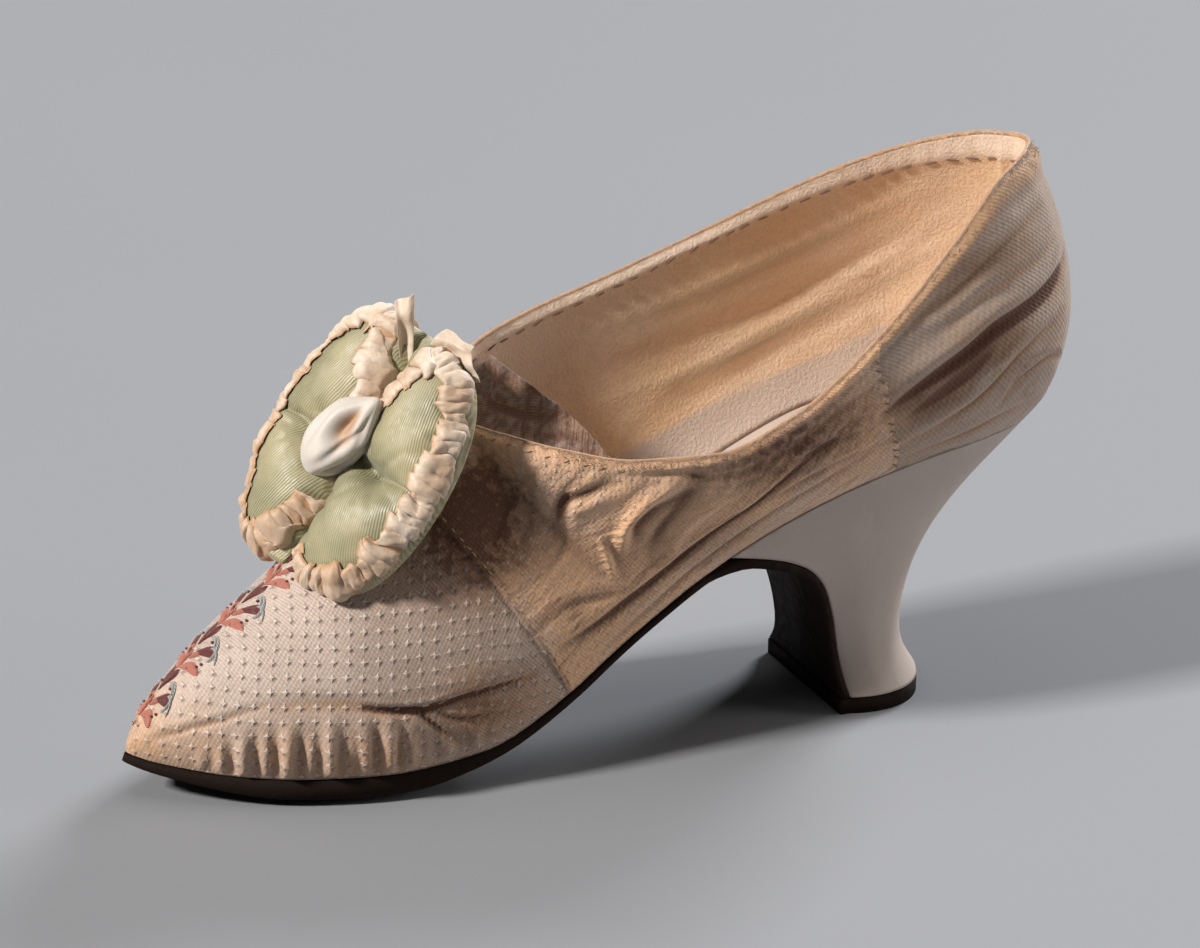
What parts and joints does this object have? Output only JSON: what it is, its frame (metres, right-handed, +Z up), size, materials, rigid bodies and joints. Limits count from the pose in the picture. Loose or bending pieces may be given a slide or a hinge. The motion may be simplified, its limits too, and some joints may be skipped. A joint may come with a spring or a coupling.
{
  "type": "high heel shoe",
  "caption": "Lady's silk high heel shoe with a pointed toe, a waisted leather-covered heel, a standing tongue and a padded ribbon bow on the instep.",
  "frame": {"origin": "middle of the shoe's outline, on the floor", "axes": "+X from the toe to the heel, -Y to the outer side where the collar is lower, +Z up"},
  "size_m": [0.2401, 0.0692, 0.1323],
  "materials": {
    "sole_leather": "dark matt leather, worn at the edge",
    "heel_leather": "pale smooth leather with light scuffs",
    "top_piece_leather": "dark matt leather",
    "upper_silk": "dusty pink silk with a woven spot, faded",
    "tongue_silk": "dusty pink silk, greyed",
    "insole_leather": "cream leather",
    "bow_silk": "sage green ribbed silk with a sheen",
    "bow_ribbon": "ivory ribbon, aged to tan in places"
  },
  "bodies": {
    "root": {"outsole": "sole_leather", "heel": "heel_leather", "heel_top_piece": "top_piece_leather", "upper": "upper_silk", "tongue": "tongue_silk", "insole": "insole_leather", "bow_pad_outer": "bow_silk", "bow_pad_inner": "bow_silk", "bow_ruffle_outer": "bow_ribbon", "bow_ruffle_inner": "bow_ribbon", "bow_knot": "bow_ribbon"}
  },
  "joints": []
}
